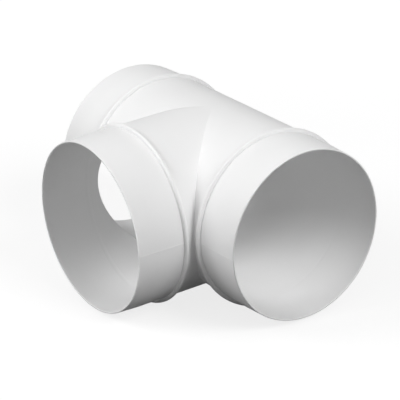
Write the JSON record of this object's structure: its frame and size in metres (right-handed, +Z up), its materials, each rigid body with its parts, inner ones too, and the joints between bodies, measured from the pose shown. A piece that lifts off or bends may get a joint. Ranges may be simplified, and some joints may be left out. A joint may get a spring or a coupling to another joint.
{
  "type": "round duct tee",
  "caption": "Equal tee for round ventilation duct: a thin-walled plastic run with a branch square to its middle, and a beaded socket at each mouth.",
  "frame": {"origin": "on the surface that the tee stands on, below the middle of its outline seen from above", "axes": "+X along the run, the branch's mouth faces -Y, +Z up, square to the plane of the three axes. The axes cross at x 0, y 17.46, z 54 mm."},
  "size_m": [0.1756, 0.143, 0.108],
  "materials": {
    "shell": "white injection-moulded plastic, satin, with no paint or print"
  },
  "bodies": {
    "root": {"duct_tee": "shell"}
  },
  "joints": []
}
